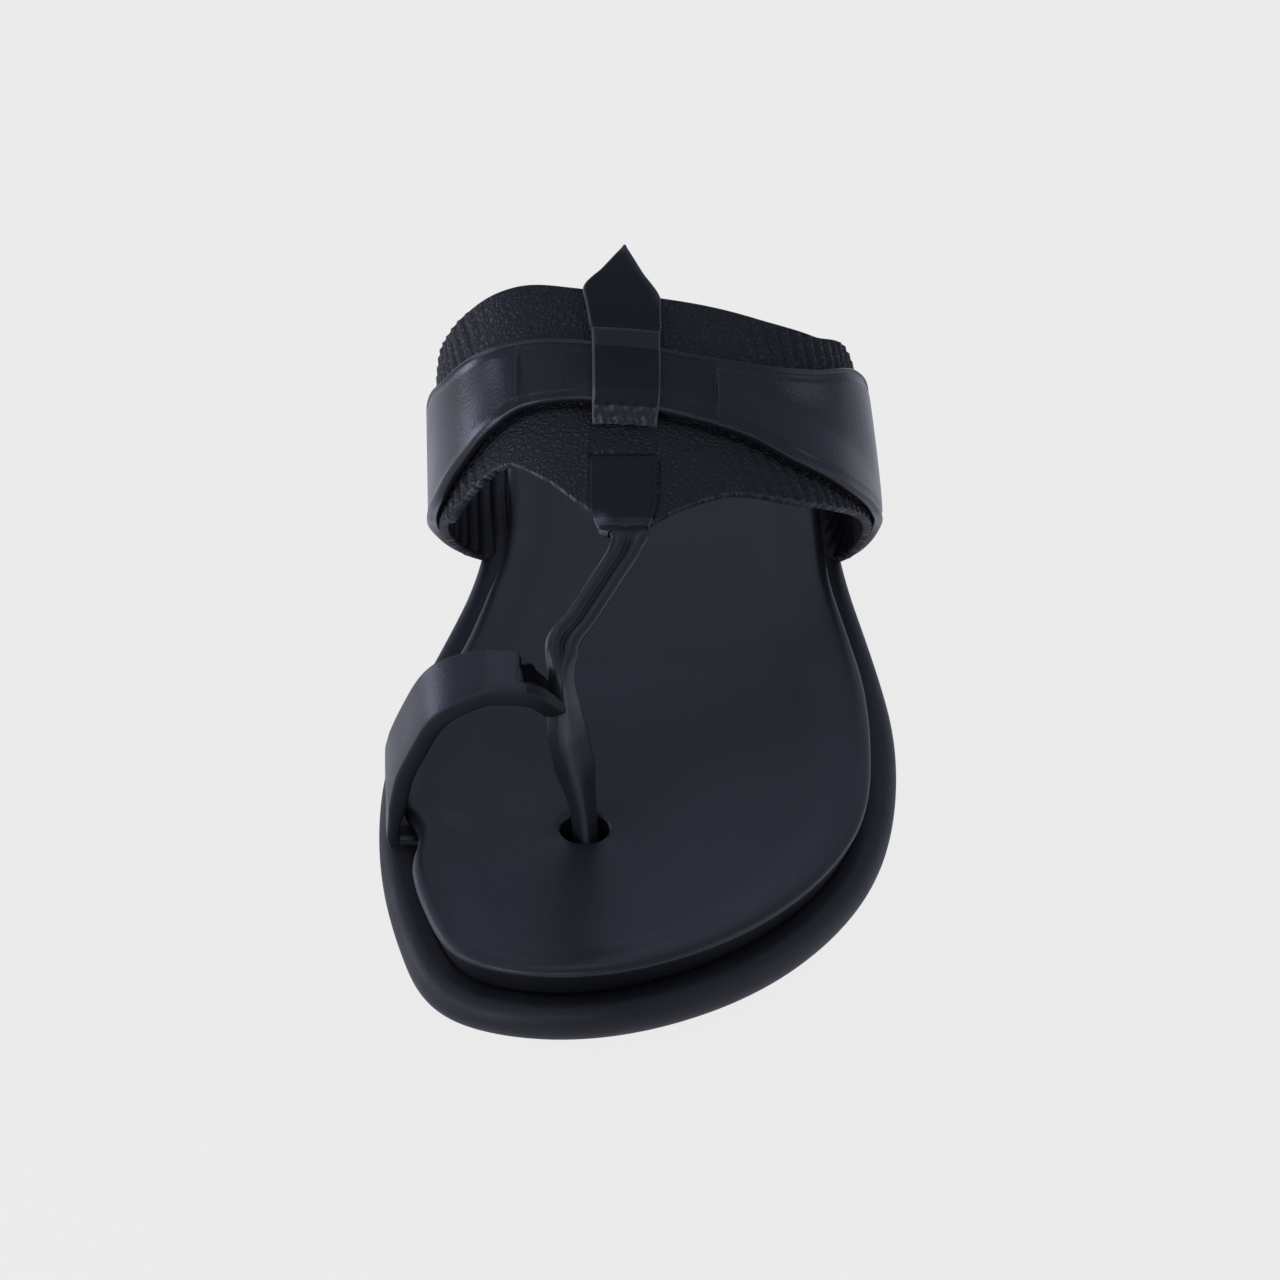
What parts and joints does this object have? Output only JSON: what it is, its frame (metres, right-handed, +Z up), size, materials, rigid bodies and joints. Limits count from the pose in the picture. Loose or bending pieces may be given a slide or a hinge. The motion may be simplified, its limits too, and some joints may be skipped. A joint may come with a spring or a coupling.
{
  "type": "sandal",
  "caption": "Men's flat black leather chappal for the left foot: instep band with a pointed tab, toe post, big-toe loop, padded footbed and low heel",
  "frame": {"origin": "middle of the bounding box on the floor, under the standing sandal", "axes": "toe towards -Y, heel towards +Y, outer side of the foot towards +X, big toe's side towards -X, +Z up"},
  "size_m": [0.1092, 0.278, 0.0908],
  "materials": {
    "outsole": "soft black rubber with a satin bull-nose edge",
    "footbed": "smooth semi-matt black leather over thin padding",
    "upper": "black leather embossed with small scales and ribs",
    "cross_strap": "smooth satin black leather",
    "centre_tab": "smooth satin black leather with a burnished edge"
  },
  "bodies": {
    "root": {"outsole": "outsole", "footbed": "footbed", "upper": "upper", "cross_strap": "cross_strap", "centre_tab": "centre_tab"}
  },
  "joints": []
}
